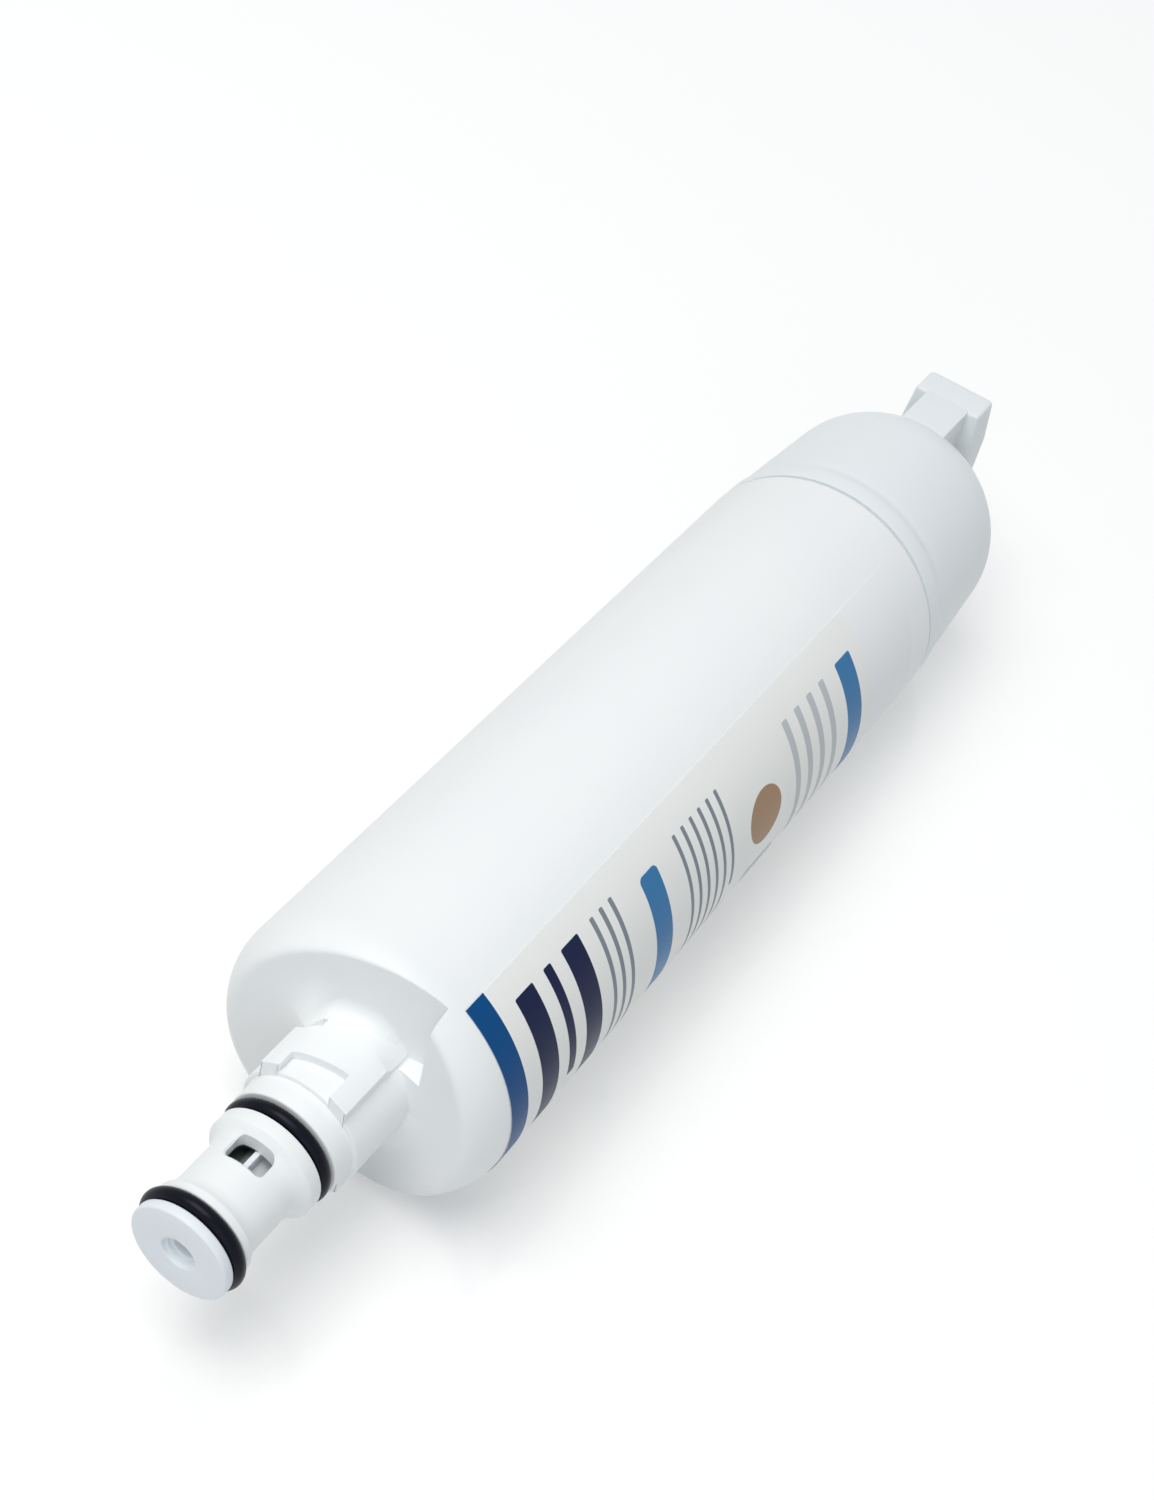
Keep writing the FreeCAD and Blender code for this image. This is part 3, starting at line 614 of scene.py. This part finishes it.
def bar(front, back, half_width, end_half_width, back_round, edge_round):
    """A bar across the cap with a lead-in at both ends, its back edges rounded and the others broken."""
    bm = bmesh.new()
    bmesh.ops.create_cube(bm, size=1)
    bmesh.ops.scale(bm, vec=(back - front, 2 * half_width, 2 * RAIL_HALF_LENGTH), verts=bm.verts)
    bmesh.ops.translate(bm, vec=((front + back) / 2, 0, 0), verts=bm.verts)
    ends = bm.verts[:]
    for side in (1, -1):
        lead_in = (0, 0, side * (RAIL_HALF_LENGTH - RAIL_LEAD_IN))
        slice_faces(bm, bm.faces[:], lead_in, (0, 0, 1))
    bmesh.ops.scale(bm, vec=(1, end_half_width / half_width, 1), verts=ends)
    if back_round:
        back_edges = [edge for edge in bm.edges if all(vert.co.x > back - 0.1 for vert in edge.verts)
                      and edge.calc_face_angle(0) > radians(60)]
        bmesh.ops.bevel(bm, geom=back_edges, affect='EDGES', offset=back_round, segments=8, profile=0.5,
                        material=-1)
    crisp = [edge for edge in bm.edges if edge.calc_face_angle(0) > radians(60)]
    bmesh.ops.bevel(bm, geom=crisp, affect='EDGES', offset=edge_round, segments=4, profile=0.5, material=-1)
    return bm


join(cap, bar(RAIL_ROOT, RAIL_HEAD + 1, RAIL_NECK_HALF_WIDTH, RAIL_NECK_HALF_WIDTH, 0, 0.3))
join(cap, bar(RAIL_HEAD, RAIL_END, RAIL_HEAD_HALF_WIDTH, RAIL_TIP_HALF_WIDTH, 2.8, 0.7))
cap_white = moulded_plastic("cap_white", linear(235, 239, 240), linear(230, 234, 236), 0.36, 2800, 0.00005)
fit(cap, "end_cap_moulding", cap_white, "cap_plastic", "end_cap")


# Seals: three moulded rubber O-rings, wiped with silicone grease. Two sit in the spigot's grooves, and the
# third stays as the solid in the socket inside.
rubber, tree, shader = new_material("greased_rubber")
place = object_place(tree)
smear = add_node(tree, 'ShaderNodeTexNoise', Vector=place, Scale=260, Detail=3)
pores = add_node(tree, 'ShaderNodeTexNoise', Vector=place, Scale=5200, Detail=2)
gloss = add_node(tree, 'ShaderNodeMapRange', Value=smear.outputs["Fac"], To_Min=0.18, To_Max=0.42)
bump = add_node(tree, 'ShaderNodeBump', Strength=0.2, Distance=0.00003, Height=pores.outputs["Fac"])
tone = blend(tree, smear.outputs["Fac"], linear(3, 5, 18), linear(8, 11, 26))
tree.links.new(tone, shader.inputs["Base Color"])
tree.links.new(gloss.outputs["Result"], shader.inputs["Roughness"])
tree.links.new(bump.outputs["Normal"], shader.inputs["Normal"])
shader.inputs["Specular IOR Level"].default_value = 0.12

RING_SECTION = 2.85 / 2
for name, node, groove, radius in (
    ("front_seal", "front_o_ring", FRONT_GROOVE, 8.975),
    ("rear_seal", "rear_o_ring", REAR_GROOVE, 9.375),
):
    ring = bmesh.new()
    bmesh.ops.create_circle(ring, segments=32, radius=RING_SECTION)
    bmesh.ops.rotate(ring, verts=ring.verts, cent=(0, 0, 0), matrix=Matrix.Rotation(pi / 2, 3, 'X'))
    bmesh.ops.translate(ring, vec=(sum(groove) / 2, 0, radius), verts=ring.verts)
    bmesh.ops.spin(ring, geom=ring.verts[:] + ring.edges[:], cent=(0, 0, 0), axis=(1, 0, 0), angle=2 * pi,
                   steps=128, use_merge=True)
    fit(ring, name, rubber, "seal_rubber", node)
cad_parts["element_o_ring"].data.materials[0] = rubber


# Label: a printed white polypropylene film wrapped round half the barrel, cream as far as its bare margin,
# with a blue stripe along its front edge. The print is plain bars and fields, and its map is in millimetres
# back from the stripe and down.
LABEL_FRONT = 51.5
LABEL_LENGTH = 151.0
LABEL_TOP = 32
LABEL_TURN = 190
FILM_INSIDE = 28.52
FILM_THICK = 0.12
film = bmesh.new()
ends = [film.verts.new((LABEL_FRONT + run, 0, FILM_INSIDE)) for run in (0, LABEL_LENGTH)]
edge = film.edges.new(ends)
bmesh.ops.rotate(film, verts=ends, cent=(0, 0, 0), matrix=Matrix.Rotation(radians(LABEL_TOP), 3, 'X'))
bmesh.ops.spin(film, geom=ends + [edge], cent=(0, 0, 0), axis=(1, 0, 0), angle=radians(LABEL_TURN),
               steps=LABEL_TURN)
bmesh.ops.recalc_face_normals(film, faces=film.faces)
print_map = film.loops.layers.uv.new("print_map")
for face in film.faces:
    for loop in face.loops:
        down = (bearing(loop.vert.co) - LABEL_TOP) % 360
        down = 0 if down > 300 else down
        loop[print_map].uv = (loop.vert.co.x - LABEL_FRONT, radians(down) * FILM_INSIDE)
bmesh.ops.solidify(film, geom=film.faces[:], thickness=-FILM_THICK)

# A print field is a rounded box on the map, with a hair-soft edge.
PRINT_SOFTNESS = 0.04
field, f_in, f_out = new_group("print_field", [
    ("Map", 'NodeSocketVector'),
    ("Back", 'NodeSocketFloat'),
    ("Down", 'NodeSocketFloat'),
    ("Half Width", 'NodeSocketFloat'),
    ("Half Length", 'NodeSocketFloat'),
    ("Corner", 'NodeSocketFloat'),
], [("Mask", 'NodeSocketFloat')])
spot = add_node(field, 'ShaderNodeSeparateXYZ', Vector=f_in.outputs["Map"])
overhang = []
for axis, middle, half in (("X", "Back", "Half Width"), ("Y", "Down", "Half Length")):
    offset = calculate(field, 'SUBTRACT', spot.outputs[axis], f_in.outputs[middle])
    inner = calculate(field, 'SUBTRACT', f_in.outputs[half], f_in.outputs["Corner"])
    beyond = calculate(field, 'SUBTRACT', calculate(field, 'ABSOLUTE', offset), inner)
    overhang.append(calculate(field, 'MAXIMUM', beyond, 0.0))
corner_run = add_node(field, 'ShaderNodeCombineXYZ', X=overhang[0], Y=overhang[1])
reach = add_node(field, 'ShaderNodeVectorMath', {"operation": 'LENGTH'}, Vector=corner_run.outputs["Vector"])
outside = calculate(field, 'SUBTRACT', reach.outputs["Value"], f_in.outputs["Corner"])
mask = add_node(field, 'ShaderNodeMapRange', Value=outside, To_Min=1, To_Max=0,
                From_Min=-PRINT_SOFTNESS, From_Max=PRINT_SOFTNESS)
field.links.new(mask.outputs["Result"], f_out.inputs["Mask"])

CREAM = linear(255, 254, 250)
NAVY = linear(18, 30, 72)
STRIPE_BLUE = linear(0, 78, 140)
MID_BLUE = linear(62, 128, 184)
GREY = linear(140, 146, 158)
PALE_GREY = linear(205, 208, 214)
TAN = linear(176, 142, 112)
fields = [(66, 47, 66, 60, 0.1, CREAM), (2.5, 47, 2.5, 60, 0.1, STRIPE_BLUE)]
for back, wide, half in ((12, 2.6, 17), (19, 1.1, 12), (26, 2.6, 15)):
    fields.append((back, 5 + half, wide, half, 0.4, NAVY))
for row, half in enumerate((20, 18, 21)):
    fields.append((33 + 3 * row, 5 + half, 0.55, half, 0.3, GREY))
fields.append((50, 26, 2.8, 19, 1.2, MID_BLUE))
for row, half in enumerate((17, 19, 16, 18, 19, 11)):
    fields.append((60 + 3 * row, 6 + half, 0.5, half, 0.3, GREY))
fields += [(88, 20, 6.0, 6.0, 6.0, TAN), (88, 40, 6.0, 9, 1.5, PALE_GREY)]
for row, half in enumerate((22, 18, 20, 15)):
    fields.append((101 + 5 * row, 7 + half, 1.0, half, 0.4, PALE_GREY))
fields.append((125, 24, 3.0, 17, 0.5, MID_BLUE))

printed_film, tree, shader = new_material("printed_film")
print_place = add_node(tree, 'ShaderNodeUVMap', {"uv_map": "print_map"}).outputs["UV"]
place = object_place(tree)
mottle = add_node(tree, 'ShaderNodeTexNoise', Vector=place, Scale=90, Detail=4)
paper = blend(tree, mottle.outputs["Fac"], linear(242, 243, 244), linear(239, 240, 241))
for back, down, wide, long, corner, ink in fields:
    spot = add_node(tree, 'ShaderNodeGroup', {"node_tree": field}, Map=print_place, Back=back, Down=down,
                    Half_Width=wide, Half_Length=long, Corner=corner)
    paper = blend(tree, spot.outputs["Mask"], paper, ink, 'MULTIPLY')
ripple = add_node(tree, 'ShaderNodeTexNoise', Vector=place, Scale=70, Detail=2)
gloss = add_node(tree, 'ShaderNodeMapRange', Value=mottle.outputs["Fac"], To_Min=0.28, To_Max=0.4)
bump = add_node(tree, 'ShaderNodeBump', Strength=0.15, Distance=0.0003, Height=ripple.outputs["Fac"])
tree.links.new(paper, shader.inputs["Base Color"])
tree.links.new(gloss.outputs["Result"], shader.inputs["Roughness"])
tree.links.new(bump.outputs["Normal"], shader.inputs["Normal"])
shader.inputs["Specular IOR Level"].default_value = 0.12
fit(film, "printed_label", printed_film, "label_film", "label")


# Filter element inside: a block of bonded carbon in a felted wrap and an extruded net, between two moulded
# caps that are glued to its ends. The closed housing hides it, so its pieces keep their solids.
def textured(name, pattern, low, high, roughness, strength, relief, *nodes):
    """Gives solids a material whose colour and relief follow one pattern."""
    material, tree, shader = new_material(name)
    height = pattern(tree, object_place(tree))
    bump = add_node(tree, 'ShaderNodeBump', Strength=strength, Distance=relief, Height=height)
    tree.links.new(blend(tree, height, low, high), shader.inputs["Base Color"])
    tree.links.new(bump.outputs["Normal"], shader.inputs["Normal"])
    shader.inputs["Roughness"].default_value = roughness
    for node in nodes:
        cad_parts[node].data.materials[0] = material


def carbon_grit(tree, place):
    return add_node(tree, 'ShaderNodeTexVoronoi', Vector=place, Scale=1400).outputs["Distance"]


def felted_fibre(tree, place):
    noise = add_node(tree, 'ShaderNodeTexNoise', Vector=place, Scale=900, Detail=6, Distortion=2.5)
    return noise.outputs["Fac"]


def crossed_strands(tree, place):
    strands = []
    for lean in (1, -1):
        leaning = add_node(tree, 'ShaderNodeMapping', Vector=place, Scale=(1, lean, lean)).outputs["Vector"]
        wave = add_node(tree, 'ShaderNodeTexWave', {"bands_direction": 'DIAGONAL'}, Scale=70, Vector=leaning)
        strands.append(wave.outputs["Fac"])
    return calculate(tree, 'MAXIMUM', *strands)


def glue_strings(tree, place):
    return add_node(tree, 'ShaderNodeTexNoise', Vector=place, Scale=160, Detail=3).outputs["Fac"]


textured("bonded_carbon", carbon_grit, linear(22, 22, 23), linear(48, 48, 50), 0.85, 0.6, 0.0003,
         "carbon_block")
textured("felted_wrap", felted_fibre, linear(224, 224, 220), linear(246, 246, 243), 0.95, 0.5, 0.0004,
         "prefilter_wrap")
textured("net_strands", crossed_strands, linear(206, 210, 212), linear(236, 239, 240), 0.5, 0.6, 0.0005,
         "netting_sleeve")
textured("set_adhesive", glue_strings, linear(214, 200, 160), linear(236, 226, 196), 0.3, 0.4, 0.0006,
         "front_bond", "rear_bond")
element_white = moulded_plastic("element_white", linear(232, 235, 237), linear(224, 228, 231),
                                0.42, 2400, 0.00005)
for node in ("front_element_cap", "rear_element_cap"):
    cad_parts[node].data.materials[0] = element_white


# Studio: a white sheet under the cartridge, a large soft lamp above its front, and a weak, slightly cooler
# fill in front and to the near side.
FLOOR = -0.02864
FLOOR_LIFT = 0.31
sheet = bmesh.new()
bmesh.ops.create_grid(sheet, x_segments=1, y_segments=1, size=6)
bmesh.ops.translate(sheet, vec=(0, 0, FLOOR), verts=sheet.verts)
sheet_mesh = bpy.data.meshes.new("floor_sheet")
sheet.to_mesh(sheet_mesh)
sheet.free()
floor = bpy.data.objects.new("floor_sheet", sheet_mesh)
bpy.context.scene.collection.objects.link(floor)


def in_view(tree):
    """1 for what the camera sees, straight or in a mirroring or clear surface."""
    rays = add_node(tree, 'ShaderNodeLightPath')
    mirrored = calculate(tree, 'MAXIMUM', rays.outputs["Is Glossy Ray"], rays.outputs["Is Transmission Ray"])
    return calculate(tree, 'MAXIMUM', rays.outputs["Is Camera Ray"], mirrored)


floor_white, tree, shader = new_material("floor_white")
shader.inputs["Base Color"].default_value = (0.73, 0.725, 0.72, 1)
shader.inputs["Roughness"].default_value = 0.12
lift = calculate(tree, 'MULTIPLY', in_view(tree), FLOOR_LIFT)
glow = add_node(tree, 'ShaderNodeEmission', Color=(1, 1, 1, 1), Strength=lift)
lifted_floor = add_node(tree, 'ShaderNodeAddShader', _0=shader.outputs["BSDF"], _1=glow.outputs["Emission"])
tree.links.new(lifted_floor.outputs["Shader"], tree.nodes["Material Output"].inputs["Surface"])
sheet_mesh.materials.append(floor_white)

world = bpy.data.worlds.new("studio")
world.use_nodes = True
bpy.context.scene.world = world
tree = world.node_tree
ambient = tree.nodes["Background"]
ambient.inputs["Color"].default_value = (0.9, 0.96, 1.0, 1)
ambient.inputs["Strength"].default_value = 0.46
white = add_node(tree, 'ShaderNodeBackground', Color=(1, 1, 1, 1), Strength=1)
sky = add_node(tree, 'ShaderNodeMixShader', Fac=in_view(tree), _1=ambient.outputs[0], _2=white.outputs[0])
tree.links.new(sky.outputs["Shader"], tree.nodes["World Output"].inputs["Surface"])

SUBJECT = Vector((0.1, 0, 0))
for name, offset, size, power, tint in (
    ("key", Vector((-0.35, 0.2, 1.25)), 0.9, 10.8, (1.0, 0.985, 0.965)),
    ("fill", Vector((-1.0, -0.65, 0.45)), 0.8, 1.5, (0.84, 0.94, 1.0)),
):
    lamp = bpy.data.lights.new(name, 'AREA')
    lamp.size = size
    lamp.energy = power
    lamp.color = tint
    holder = bpy.data.objects.new(name, lamp)
    holder.location = SUBJECT + offset
    holder.rotation_euler = offset.to_track_quat('Z', 'Y').to_euler()
    bpy.context.scene.collection.objects.link(holder)

VIEW_FROM = Vector((-0.19495, -0.1111, 0.3225))
VIEW_TURN = Euler((radians(44.44), radians(-10.56), radians(-57.21)))
view = bpy.data.cameras.new("photo_view")
view.sensor_fit = 'VERTICAL'
view.sensor_height = 36
view.lens = 56.15
camera = bpy.data.objects.new("photo_view", view)
camera.matrix_world = Matrix.LocRotScale(VIEW_FROM, VIEW_TURN, None)
bpy.context.scene.collection.objects.link(camera)
bpy.context.scene.camera = camera
bpy.context.scene.view_settings.view_transform = 'Standard'
